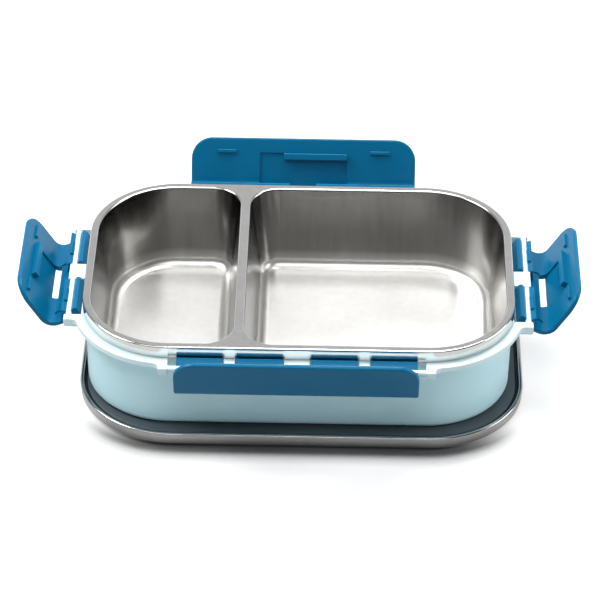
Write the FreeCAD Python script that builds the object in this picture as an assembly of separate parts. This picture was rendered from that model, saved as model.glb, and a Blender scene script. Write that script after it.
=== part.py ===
import FreeCAD, Part
import math
import os
from FreeCAD import Placement, Rotation, Vector

# Lunch box, millimetres. +X is the long side, to the right, +Y is the back and +Z is up.
# The origin is the middle of the lid's flat outer face, which lies on the table.

# Tray, drawn from one steel sheet
TRAY_LENGTH = 200.0
TRAY_WIDTH = 133.2
TRAY_CORNER = 41.0
SHEET = 0.6
TRAY_DEPTH = 41.5
RIM_WIDTH = 3.8
RIM_BEND = 1.0
SKIRT_DROP = 5.6
DIVIDER_X = -27.0
DIVIDER_WIDTH = 4.7
DIVIDER_CORNER = 14.0
TRAY_DRAFT = 7.5
FLOOR_BEND = 7.0

# Outer shell
BOX_HEIGHT = 45.0
SHELL_WALL = 1.8
SHELL_FLOOR = 2.0
SHELL_TAPER = 0.6
FOOT_RADIUS = 3.0
TRAY_PLAY = 0.3
FLANGE_DROP = 6.0
FLANGE_REACH = 4.3
FLANGE_DEPTH = 2.7
FLANGE_EDGE = 0.6

# Hinges: a bar between two ears on every side, held by a centre block and, on the long sides, two posts
BAR_RADIUS = 1.5
BAR_OFFSET = 6.2
EAR_WIDTH = 4.2
EAR_DEPTH = 4.3
EAR_TIP = 1.2
EAR_SWEEP = 3.2
BLOCK_WIDTH = 11.8
POST_WIDTH = 5.2
POST_PLACE = 30.6
BLOCK_NOSE = 0.6
BLOCK_DEPTH = 5.6

# Latch flaps
LONG_FLAP = 110.0
SHORT_FLAP = 63.4
LONG_END_GAP = 3.5
SHORT_END_GAP = 2.4
CLIP_PLAY = 0.08
CLIP_WALL = 1.85
CLIP_GAP = 0.2
CLIP_END_GAP = 0.6
MOUTH_OUTER_ANGLE = 28.0
MOUTH_INNER_ANGLE = 118.0
LIP_ANGLE = 46.0
LIP_LENGTH = 10.0
HEEL_RIDGE = 3.75
HEEL_BREAK = 4.8
HEEL_REACH = 5.75
HEEL_FOOT = 5.1
SHOULDER_TOP = 4.4
SHOULDER_ROOT = 5.7
FLAP_WALL = 2.4
LEG_ANGLE = -25.0
LEG_BELOW_BAR = 2.14
PLATE_ANGLE = 58.0
PLATE_FROM_BAR = 11.5
PLATE_REACH = 24.1
FLAP_BEND = 4.7
FLAP_CORNER = 10.5
FLAP_EDGE = 0.9
HOOK_PLACE = 14.0
HOOK_THICK = 3.0
HOOK_HEIGHT = 2.6
RECESS_DEPTH = 0.8
RECESS_CLEAR = 3.0
LONG_RECESS = 42.8
SHORT_RECESS = 25.6
LONG_HOOK = 31.0
NIB_PLACE = 16.75
NIB_THICK = 1.7
NIB_HEIGHT = 1.1
NIB_LENGTH = 9.6
LONG_NIB_PLACE = 37.5
SHORT_NIB_PLACE = 21.0
FRONT_FLAP_ANGLE = 11.7
BACK_FLAP_ANGLE = 6.0

# Lid, upside down under the box: a drawn pan with a rolled rim, a lining and a gasket
LID_REACH = 3.75
LID_HEIGHT = 7.2
LID_EDGE = 2.0
LID_ROLL_WIDTH = 1.9
LID_ROLL_HEIGHT = 1.5
LID_ROLL_STEP = 0.3
LINING_INSET = 3.3
LINING_BELOW_RIM = 0.9
LINING_WALL = 1.6
GASKET_BELOW_LINING = 0.9
GASKET_PLAY = 0.1
GASKET_EDGE = 0.5
BOX_SHIFT_X = -1.65
BOX_SHIFT_Y = 3.9

# Levels
BOX_BASE = LID_HEIGHT - LINING_BELOW_RIM
RIM_TOP = BOX_BASE + BOX_HEIGHT
FLANGE_TOP = RIM_TOP - FLANGE_DROP
FLANGE_UNDER = FLANGE_TOP - FLANGE_DEPTH
BAR_LEVEL = FLANGE_TOP - BAR_RADIUS

# Fits that follow from the values above
CLIP_BORE = BAR_RADIUS + CLIP_PLAY
CLIP_OUTER = CLIP_BORE + CLIP_WALL
POCKET_REACH = BAR_OFFSET - HEEL_REACH - CLIP_GAP
BLOCK_REACH = BAR_OFFSET + BAR_RADIUS + BLOCK_NOSE
EAR_REACH = BLOCK_REACH
SHELL_INSET = SHEET + TRAY_PLAY

# The sides of the box, each a quarter turn on from the last
SIDE_NAMES = ("right", "back", "left", "front")

# Two places closer than this are the same place
TOUCH = 1e-4


def side(name):
    """The way a side faces, its distance from the middle, half its run, its flap's length and end gap."""
    angle = 360 / len(SIDE_NAMES) * SIDE_NAMES.index(name)
    if name in ("left", "right"):
        return angle, TRAY_LENGTH / 2, TRAY_WIDTH / 2, SHORT_FLAP, SHORT_END_GAP
    return angle, TRAY_WIDTH / 2, TRAY_LENGTH / 2, LONG_FLAP, LONG_END_GAP


def outline(low, high, left_corner, right_corner, z):
    """Closed wire round a rectangle from low to high (x, y), with its own corner radius at each end."""
    quarter = math.sqrt(0.5)
    corners = [
        (high[0], high[1], right_corner, 1, 1),
        (low[0], high[1], left_corner, -1, 1),
        (low[0], low[1], left_corner, -1, -1),
        (high[0], low[1], right_corner, 1, -1),
    ]
    arcs = []
    for x, y, radius, sx, sy in corners:
        centre = Vector(x - sx * radius, y - sy * radius, z)
        along_x = centre + Vector(sx * radius, 0, 0)
        along_y = centre + Vector(0, sy * radius, 0)
        middle = centre + Vector(sx * radius * quarter, sy * radius * quarter, 0)
        ends = (along_x, along_y) if sx * sy > 0 else (along_y, along_x)
        arcs.append((ends[0], middle, ends[1]))
    edges = []
    for index, (start, middle, end) in enumerate(arcs):
        edges.append(Part.Arc(start, middle, end).toShape())
        edges.append(Part.LineSegment(end, arcs[(index + 1) % 4][0]).toShape())
    return Part.Wire(edges)


def rim_outline(grow, z):
    """The tray rim's outline, moved outwards by grow."""
    half = (TRAY_LENGTH / 2 + grow, TRAY_WIDTH / 2 + grow)
    corner = TRAY_CORNER + grow
    return outline((-half[0], -half[1]), half, corner, corner, z)


def slab(wire, height):
    """Prism upwards from a flat wire."""
    return Part.Face(wire).extrude(Vector(0, 0, height))


def edges_at(shape, z):
    """Edges of a shape that lie wholly at one level."""
    return [e for e in shape.Edges if abs(e.BoundBox.ZMin - z) < TOUCH and abs(e.BoundBox.ZMax - z) < TOUCH]


def compartment(end, grow):
    """Space inside one compartment, or with grow its outside, as a tapered block with a rounded floor."""
    half_length = TRAY_LENGTH / 2 - RIM_WIDTH
    half_width = TRAY_WIDTH / 2 - RIM_WIDTH
    outer_corner = TRAY_CORNER - RIM_WIDTH
    if end == "left":
        low_x, high_x = -half_length, DIVIDER_X - DIVIDER_WIDTH / 2
        left_corner, right_corner = outer_corner, DIVIDER_CORNER
    else:
        low_x, high_x = DIVIDER_X + DIVIDER_WIDTH / 2, half_length
        left_corner, right_corner = DIVIDER_CORNER, outer_corner
    depth = TRAY_DEPTH + grow
    wires = []
    for z in (RIM_TOP - depth, RIM_TOP):
        inset = (RIM_TOP - z) * math.tan(math.radians(TRAY_DRAFT)) - grow
        low = (low_x + inset, -half_width + inset)
        high = (high_x - inset, half_width - inset)
        wires.append(outline(low, high, left_corner - inset, right_corner - inset, z))
    block = Part.makeLoft(wires, True, True)
    return block.makeFillet(FLOOR_BEND + grow, edges_at(block, RIM_TOP - depth))


def steel_tray():
    """Flat rim with a turned-down skirt and two drawn compartments."""
    skirt = slab(rim_outline(0, RIM_TOP - SKIRT_DROP), SKIRT_DROP)
    under = slab(rim_outline(-SHEET, RIM_TOP - SKIRT_DROP), SKIRT_DROP - SHEET)
    tray = skirt.cut(under)
    for end in ("left", "right"):
        tray = tray.fuse(compartment(end, SHEET))
    for end in ("left", "right"):
        tray = tray.cut(compartment(end, 0))
    tray = tray.removeSplitter()
    return tray.makeFillet(RIM_BEND, edges_at(tray, RIM_TOP))


def to_side(shape, angle, distance, level):
    """Turn a piece, made with outwards along +X, to face one side of the box."""
    turned = shape.copy()
    turned.translate(Vector(distance, 0, level))
    turned.rotate(Vector(0, 0, 0), Vector(0, 0, 1), angle)
    return turned


def box_between(low, high):
    """Box from its lowest to its highest corner."""
    size = [high[i] - low[i] for i in range(3)]
    return Part.makeBox(size[0], size[1], size[2], Vector(low[0], low[1], low[2]))


def supports(length):
    """Places along a hinge bar, and widths, of the block and posts that hold the bar."""
    held = [(0.0, BLOCK_WIDTH)]
    if length == LONG_FLAP:
        held += [(-POST_PLACE, POST_WIDTH), (POST_PLACE, POST_WIDTH)]
    return held


def ear(inner, sign):
    """One ear of a hinge, seen from the rim's edge with the flange's top at zero."""
    near, far = sorted((sign * inner, sign * (inner + EAR_WIDTH)))
    block = box_between((-SHELL_INSET - SHELL_WALL / 2, near, -EAR_DEPTH), (EAR_REACH, far, 0))
    lower = [e for e in block.Edges if e.BoundBox.XMin > EAR_REACH - TOUCH and e.BoundBox.ZMax < -EAR_TIP]
    block = block.makeFillet(EAR_TIP, lower)
    upper = [e for e in block.Edges if e.BoundBox.XMin > EAR_REACH - TOUCH and e.BoundBox.ZMin > -TOUCH]
    return block.makeFillet(FLANGE_EDGE, upper)


def ear_sweep(inner, run, sign):
    """Web with a hollow curve that carries an ear's far side into the flange's edge."""
    far = inner + EAR_WIDTH
    arc_start = run - TRAY_CORNER
    across = far + EAR_SWEEP
    middle = Vector(-TRAY_CORNER, arc_start, 0)
    if across > arc_start:
        reach = TRAY_CORNER + FLANGE_REACH + EAR_SWEEP
        centre = middle + Vector(math.sqrt(reach ** 2 - (across - arc_start) ** 2), across - arc_start, 0)
        landing = middle + (centre - middle) * ((reach - EAR_SWEEP) / reach)
    else:
        centre = Vector(FLANGE_REACH + EAR_SWEEP, across, 0)
        landing = Vector(FLANGE_REACH, across, 0)
    on_ear = Vector(centre.x, far, 0)
    low_side = (on_ear - centre).normalize() + (landing - centre).normalize()
    halfway = centre + low_side.normalize() * EAR_SWEEP
    root = Vector(0, far - EAR_WIDTH / 2, 0)
    ear_root = Vector(centre.x, root.y, 0)
    edges = [Part.Arc(on_ear, halfway, landing).toShape()]
    corners = [landing, Vector(0, landing.y, 0), root, ear_root, on_ear]
    for start, end in zip(corners, corners[1:]):
        edges.append(Part.LineSegment(start, end).toShape())
    web = Part.Face(Part.Wire(edges)).extrude(Vector(0, 0, -FLANGE_DEPTH))
    return web if sign > 0 else web.mirror(Vector(0, 0, 0), Vector(0, 1, 0))


def hinge_holders(length, end_gap):
    """Bar with its block and posts, on the same datum as the ears."""
    inner = length / 2 + end_gap
    bar_end = inner + EAR_WIDTH / 2
    bar = Part.makeCylinder(BAR_RADIUS, 2 * bar_end, Vector(BAR_OFFSET, -bar_end, -BAR_RADIUS), Vector(0, 1, 0))
    pieces = [bar]
    for place, width in supports(length):
        block = box_between(
            (-SHELL_INSET - SHELL_WALL / 2, place - width / 2, -BLOCK_DEPTH),
            (BLOCK_REACH, place + width / 2, 0),
        )
        nose = [e for e in block.Edges if e.BoundBox.XMin > BLOCK_REACH - TOUCH and e.BoundBox.YLength > TOUCH]
        pieces.append(block.makeFillet(BLOCK_NOSE, nose))
    return pieces


def shell_wall():
    """Tapered wall with its floor, up to the seat under the tray's rim."""
    wires = [rim_outline(-SHELL_INSET - SHELL_TAPER, BOX_BASE), rim_outline(-SHELL_INSET, RIM_TOP - SHEET)]
    wall = Part.makeLoft(wires, True, True)
    return wall.makeFillet(FOOT_RADIUS, edges_at(wall, BOX_BASE))


def shell_hollow():
    """Space inside the shell, which the tray hangs in."""
    floor = BOX_BASE + SHELL_FLOOR
    inset = SHELL_INSET + SHELL_WALL
    wires = [rim_outline(-inset - SHELL_TAPER, floor), rim_outline(-inset, RIM_TOP - SHEET)]
    hollow = Part.makeLoft(wires, True, True)
    return hollow.makeFillet(FOOT_RADIUS - SHELL_WALL / 2, edges_at(hollow, floor))


def flange():
    """Flange round the shell with an ear at each end of every hinge and a pocket for each flap's clips."""
    plate = slab(rim_outline(FLANGE_REACH, FLANGE_UNDER), FLANGE_DEPTH)
    plate = plate.makeFillet(FLANGE_EDGE, edges_at(plate, FLANGE_TOP) + edges_at(plate, FLANGE_UNDER))
    for angle, half, run, length, end_gap in map(side, SIDE_NAMES):
        inner = length / 2 + end_gap
        pocket = box_between((POCKET_REACH, -inner, -EAR_DEPTH), (EAR_REACH, inner, EAR_DEPTH))
        plate = plate.cut(to_side(pocket, angle, half, FLANGE_TOP))
    for angle, half, run, length, end_gap in map(side, SIDE_NAMES):
        inner = length / 2 + end_gap
        for sign in (-1, 1):
            plate = plate.fuse(to_side(ear(inner, sign), angle, half, FLANGE_TOP))
            plate = plate.fuse(to_side(ear_sweep(inner, run, sign), angle, half, FLANGE_TOP))
    return plate.removeSplitter()


def outer_shell():
    """Shell with its flange, ears, hinge bars, blocks and posts in one moulding."""
    shell = shell_wall().fuse(flange())
    for angle, half, run, length, end_gap in map(side, SIDE_NAMES):
        for piece in hinge_holders(length, end_gap):
            shell = shell.fuse(to_side(piece, angle, half, FLANGE_TOP))
    return shell.cut(shell_hollow()).removeSplitter()


def ray(angle):
    """Unit vector in the flap's section, which lies in the XZ plane."""
    turn = math.radians(angle)
    return Vector(math.cos(turn), 0, math.sin(turn))


def flap_section():
    """Leg, bend and plate of a flap as one closed wire about the bar's axis."""
    leg, leg_up = ray(LEG_ANGLE), ray(LEG_ANGLE + 90)
    plate, plate_out = ray(PLATE_ANGLE), ray(PLATE_ANGLE - 90)
    along = FLAP_BEND - LEG_BELOW_BAR
    out = PLATE_FROM_BAR - FLAP_BEND
    det = leg_up.x * plate_out.z - leg_up.z * plate_out.x
    centre = Vector(
        (along * plate_out.z - leg_up.z * out) / det, 0, (leg_up.x * out - along * plate_out.x) / det
    )
    middle = (plate_out - leg_up).normalize()
    inner, outer = FLAP_BEND, FLAP_BEND + FLAP_WALL
    start = leg * (CLIP_OUTER / 3)
    top = start - leg_up * LEG_BELOW_BAR
    bottom = top - leg_up * FLAP_WALL
    end_in = plate_out * PLATE_FROM_BAR + plate * PLATE_REACH
    end_out = end_in + plate_out * FLAP_WALL
    edges = [
        Part.LineSegment(top, centre - leg_up * inner).toShape(),
        Part.Arc(centre - leg_up * inner, centre + middle * inner, centre + plate_out * inner).toShape(),
        Part.LineSegment(centre + plate_out * inner, end_in).toShape(),
        Part.LineSegment(end_in, end_out).toShape(),
        Part.LineSegment(end_out, centre + plate_out * outer).toShape(),
        Part.Arc(centre + plate_out * outer, centre + middle * outer, centre - leg_up * outer).toShape(),
        Part.LineSegment(centre - leg_up * outer, bottom).toShape(),
        Part.LineSegment(bottom, top).toShape(),
    ]
    return Part.Wire(edges)


def plate_box(along, out, across):
    """Box on the flap's plate: its span along the plate, out from the bar's axis and across the flap."""
    box = box_between((along[0], across[0], -out[1]), (along[1], across[1], -out[0]))
    box.rotate(Vector(0, 0, 0), Vector(0, 1, 0), -PLATE_ANGLE)
    return box


def clip_ring(low, high, mouth):
    """Open ring round the bar from low to high along it, whose mouth begins at an angle on the outer side."""
    start = Vector(0, low, 0)
    ring = Part.makeCylinder(CLIP_OUTER, high - low, start, Vector(0, 1, 0))
    reach = 2 * CLIP_OUTER
    middle = (mouth + MOUTH_INNER_ANGLE) / 2
    return ring.cut(prism([(0, 0), (mouth, reach), (middle, reach), (MOUTH_INNER_ANGLE, reach)], low, high))


def prism(corners, low, high):
    """Prism along the bar from low to high, with its corners as angles and distances from the bar's axis."""
    points = [ray(angle) * distance + Vector(0, low, 0) for angle, distance in corners]
    return Part.Face(Part.makePolygon(points + points[:1])).extrude(Vector(0, high - low, 0))


def clip_spans(length):
    """Runs of the bar that a flap's clips hold, between its ends, the block and the posts."""
    edges = [-length / 2]
    for place, width in sorted(supports(length)):
        gap = width / 2 + CLIP_END_GAP
        edges += [place - gap, place + gap]
    edges.append(length / 2)
    return list(zip(edges[::2], edges[1::2]))


def clip(low, high):
    """Clip that snaps over the bar: an open ring with a heel on the tray's side, a shoulder and a lip."""
    inside = (CLIP_BORE + CLIP_OUTER) / 2
    heel = prism([
        (MOUTH_INNER_ANGLE, inside), (MOUTH_INNER_ANGLE, CLIP_OUTER), (MOUTH_INNER_ANGLE + 6, HEEL_RIDGE),
        (MOUTH_INNER_ANGLE + 35, HEEL_BREAK), (186, HEEL_REACH), (206, HEEL_FOOT), (235, inside),
    ], low, high)
    shoulder = prism([
        (MOUTH_OUTER_ANGLE, inside), (MOUTH_OUTER_ANGLE, CLIP_OUTER), (MOUTH_OUTER_ANGLE - 6, SHOULDER_TOP),
        (-47, SHOULDER_ROOT), (-80, CLIP_OUTER),
    ], low, high)
    middle = (low + high) / 2
    lip = clip_ring(middle - LIP_LENGTH / 2, middle + LIP_LENGTH / 2, LIP_ANGLE)
    return clip_ring(low, high, MOUTH_OUTER_ANGLE).fuse([heel, shoulder, lip])


def latch_flap(length, recess, hook, nib_place):
    """Flap with clips for the bar, a folded plate, a hook rib over its recess and two small ribs.

    hook gives the rib's two ends across the flap.
    """
    half = length / 2
    body = Part.Face(flap_section())
    body.translate(Vector(0, -half, 0))
    body = body.extrude(Vector(0, length, 0))
    corner = (ray(PLATE_ANGLE) * PLATE_REACH).z + (ray(PLATE_ANGLE - 90) * PLATE_FROM_BAR).z
    free = [e for e in body.Edges if e.BoundBox.YLength < TOUCH and e.BoundBox.ZMax > corner - TOUCH
            and abs(e.Length - FLAP_WALL) < TOUCH]
    body = body.makeFillet(FLAP_CORNER, free)
    along = ray(PLATE_ANGLE)
    border = [e for e in body.Edges if abs(e.Length - FLAP_WALL) > TOUCH
              and min(v.Point.dot(along) for v in e.Vertexes) > PLATE_REACH - FLAP_CORNER - TOUCH]
    body = body.makeFillet(FLAP_EDGE, border)
    room = 2 * CLIP_OUTER
    stop = BLOCK_REACH - BAR_OFFSET + CLIP_PLAY
    for place, width in supports(length):
        gap = width / 2 + CLIP_END_GAP
        body = body.cut(box_between((-room, place - gap, -room), (stop, place + gap, room)))
    bore = Part.makeCylinder(CLIP_BORE, length, Vector(0, -half, 0), Vector(0, 1, 0))
    flap = body.fuse([clip(low, high) for low, high in clip_spans(length)]).cut(bore)
    deep = (PLATE_FROM_BAR - RECESS_CLEAR, PLATE_FROM_BAR + RECESS_DEPTH)
    top = HOOK_PLACE + HOOK_THICK
    flap = flap.cut(plate_box((-2 * PLATE_FROM_BAR, top), deep, (-recess / 2, recess / 2)))
    root = PLATE_FROM_BAR + RECESS_DEPTH
    flap = flap.fuse(plate_box((HOOK_PLACE, top), (PLATE_FROM_BAR - HOOK_HEIGHT, root), hook))
    for sign in (-1, 1):
        ends = (sign * nib_place - NIB_LENGTH / 2, sign * nib_place + NIB_LENGTH / 2)
        nib = plate_box((NIB_PLACE, NIB_PLACE + NIB_THICK), (PLATE_FROM_BAR - NIB_HEIGHT, root), ends)
        flap = flap.fuse(nib)
    return flap.removeSplitter()


def long_flap():
    """Flap of the front and the back, whose hook rib stops short of one end of its recess."""
    return latch_flap(LONG_FLAP, LONG_RECESS, (-LONG_RECESS / 2, LONG_HOOK - LONG_RECESS / 2), LONG_NIB_PLACE)


def short_flap():
    """Flap of the left and the right."""
    return latch_flap(SHORT_FLAP, SHORT_RECESS, (-SHORT_RECESS / 2, SHORT_RECESS / 2), SHORT_NIB_PLACE)


def hinged(flap, name):
    """Set a flap on its bar, standing open."""
    angle, half = side(name)[:2]
    lift = {"front": FRONT_FLAP_ANGLE, "back": BACK_FLAP_ANGLE}.get(name, 0)
    placed = flap.copy()
    placed.rotate(Vector(0, 0, 0), Vector(0, 1, 0), -lift)
    return to_side(placed, angle, half + BAR_OFFSET, BAR_LEVEL)


def lid_cover():
    """Drawn pan with a rounded edge on the table and a rolled rim on top, a little proud of its wall."""
    outside = LID_REACH - LID_ROLL_STEP
    pan = slab(rim_outline(outside, 0), LID_HEIGHT)
    pan = pan.makeFillet(LID_EDGE, edges_at(pan, 0))
    inside = slab(rim_outline(outside - SHEET, SHEET), LID_HEIGHT)
    pan = pan.cut(inside.makeFillet(LID_EDGE - SHEET, edges_at(inside, SHEET)))
    foot = LID_HEIGHT - LID_ROLL_HEIGHT
    roll = slab(rim_outline(LID_REACH, foot), LID_ROLL_HEIGHT)
    roll = roll.cut(slab(rim_outline(LID_REACH - LID_ROLL_WIDTH, foot), LID_ROLL_HEIGHT))
    pan = pan.fuse(roll).removeSplitter()
    return pan.makeFillet(LID_ROLL_HEIGHT / 3, edges_at(pan, LID_HEIGHT))


def lid_lining():
    """Moulded plate inside the lid, hollow underneath, that stands on the pan's floor by its edge."""
    edge = LID_REACH - LINING_INSET
    plate = slab(rim_outline(edge, SHEET), BOX_BASE - SHEET)
    hollow = slab(rim_outline(edge - LINING_WALL, SHEET), BOX_BASE - LINING_WALL - SHEET)
    return plate.cut(hollow)


def lid_gasket():
    """Soft ring in the groove between the lining and the pan's wall."""
    outside = LID_REACH - LID_ROLL_WIDTH - GASKET_PLAY
    height = BOX_BASE - GASKET_BELOW_LINING - SHEET
    ring = slab(rim_outline(outside, SHEET), height)
    ring = ring.makeFillet(GASKET_EDGE, edges_at(ring, SHEET) + edges_at(ring, SHEET + height))
    return ring.cut(slab(rim_outline(LID_REACH - LINING_INSET + GASKET_PLAY, SHEET), height))


def box_parts():
    """Every piece that stands on the lid, about the box's own middle."""
    return {
        "outer_shell": outer_shell(),
        "steel_tray": steel_tray(),
        "front_flap": hinged(long_flap(), "front"),
        "back_flap": hinged(long_flap(), "back"),
        "left_flap": hinged(short_flap(), "left"),
        "right_flap": hinged(short_flap(), "right"),
    }


def main():
    """Build every piece in place and write it out."""
    os.makedirs("parts", exist_ok=True)
    parts = {"lid_cover": lid_cover(), "lid_lining": lid_lining(), "lid_gasket": lid_gasket()}
    for name, shape in box_parts().items():
        shape.translate(Vector(BOX_SHIFT_X, BOX_SHIFT_Y, 0))
        parts[name] = shape
    for name, shape in parts.items():
        solids = shape.Solids
        print(name, "solids", len(solids), "valid", shape.isValid(), "volume", round(shape.Volume, 1))
        shape.exportStep(os.path.join("parts", name + ".step"))


main()
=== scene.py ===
"""Looks of a lunch box: pale moulded shell, divided steel tray, blue latch flaps and a lined steel lid.

Every piece is modelled in millimetres on a Bench and set down in metres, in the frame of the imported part.
"""

import logging
import math
from dataclasses import dataclass
from enum import Enum
from typing import Any, Callable, Optional, Sequence, Union

import bmesh
import bpy
from mathutils import Matrix, Vector


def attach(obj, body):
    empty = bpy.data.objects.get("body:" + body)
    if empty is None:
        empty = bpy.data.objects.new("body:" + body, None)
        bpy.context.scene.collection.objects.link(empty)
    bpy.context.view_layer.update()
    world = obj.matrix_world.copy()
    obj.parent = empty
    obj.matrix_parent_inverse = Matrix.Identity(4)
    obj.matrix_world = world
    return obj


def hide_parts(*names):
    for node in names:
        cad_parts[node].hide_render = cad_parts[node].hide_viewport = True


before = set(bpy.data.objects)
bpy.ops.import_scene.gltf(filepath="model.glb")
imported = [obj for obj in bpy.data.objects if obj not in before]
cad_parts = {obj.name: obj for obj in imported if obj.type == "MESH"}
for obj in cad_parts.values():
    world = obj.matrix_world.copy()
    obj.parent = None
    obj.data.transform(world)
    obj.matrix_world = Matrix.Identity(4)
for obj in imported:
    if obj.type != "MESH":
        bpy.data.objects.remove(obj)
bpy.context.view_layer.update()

LOG = logging.getLogger("lunch_box")
METRES = 0.001

# Points closer than this, in millimetres, are one point
TOUCH = 1e-3
# The same after booleans and bevels, which leave points less exact
NEAR = 0.01
# Faces that turn by less than this many degrees lie in one plane
FLAT = 1.0
# Segments of the box's rounded corners in plan
CORNER_STEPS = 32
# Depth in metres of the finest grain in a surface
RELIEF = 0.00004

# How far steel is polished, an attribute of its mesh that also sets the painted shade in its colour: 0 on a
# floor, and these further up the sheet
POLISH_AND_PAINTED_SHADE = "buffed"
BEND_TOP = 0.3
WALL_TOP = 0.6
RIM = 1.0

Point = tuple[float, float]
Place = tuple[float, float, float]


class Pick(Enum):
    """What a selection on the bench takes hold of."""

    POINTS = "VERT"
    EDGES = "EDGE"
    FACES = "FACE"


class Join(Enum):
    """How one piece is worked into another."""

    FUSE = "UNION"
    CUT = "DIFFERENCE"


class Tool(Enum):
    """Modifiers that finish a piece."""

    BEVEL = "BEVEL"
    SHEET = "SOLIDIFY"
    SHADING = "WEIGHTED_NORMAL"


class Axis(Enum):
    """The axes of the frame."""

    X = "X"
    Y = "Y"
    Z = "Z"


class Side(Enum):
    """The four sides of the box, each with the way it faces in degrees from +X."""

    RIGHT = 0.0
    BACK = 90.0
    LEFT = 180.0
    FRONT = 270.0

    @property
    def is_end(self) -> bool:
        """Whether this is one of the two short sides."""
        return self in (Side.LEFT, Side.RIGHT)


# Outlines and profiles


def corner_path(corners: Sequence[Place], steps: int) -> list[Point]:
    """Turn corner points with radii into a smooth run of points.

    Args:
        corners: Each corner as (across, up, radius).
        steps: Points on a quarter turn.

    Returns:
        The run of points from the first corner to the last.
    """
    path: list[Point] = [corners[0][:2]]
    for before, here, after in zip(corners, corners[1:], corners[2:]):
        point = Vector(here[:2])
        back = (Vector(before[:2]) - point).normalized()
        on = (Vector(after[:2]) - point).normalized()
        turn = math.pi - back.angle(on)
        if here[2] <= 0 or turn < TOUCH:
            path.append(here[:2])
            continue
        reach = here[2] * math.tan(turn / 2)
        centre = point + (back + on).normalized() * (here[2] / math.cos(turn / 2))
        start = point + back * reach - centre
        spin = 1 if start.x * on.y - start.y * on.x > 0 else -1
        count = max(2, round(steps * turn / (math.pi / 2)))
        for index in range(count + 1):
            angle = spin * turn * index / count
            c, s = math.cos(angle), math.sin(angle)
            path.append((centre.x + start.x * c - start.y * s, centre.y + start.x * s + start.y * c))
    path.append(corners[-1][:2])
    return path


def ray(angle: float) -> Vector:
    """Unit vector in the XZ plane at an angle in degrees from +X."""
    return Vector((math.cos(math.radians(angle)), 0.0, math.sin(math.radians(angle))))


# The bench


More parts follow.
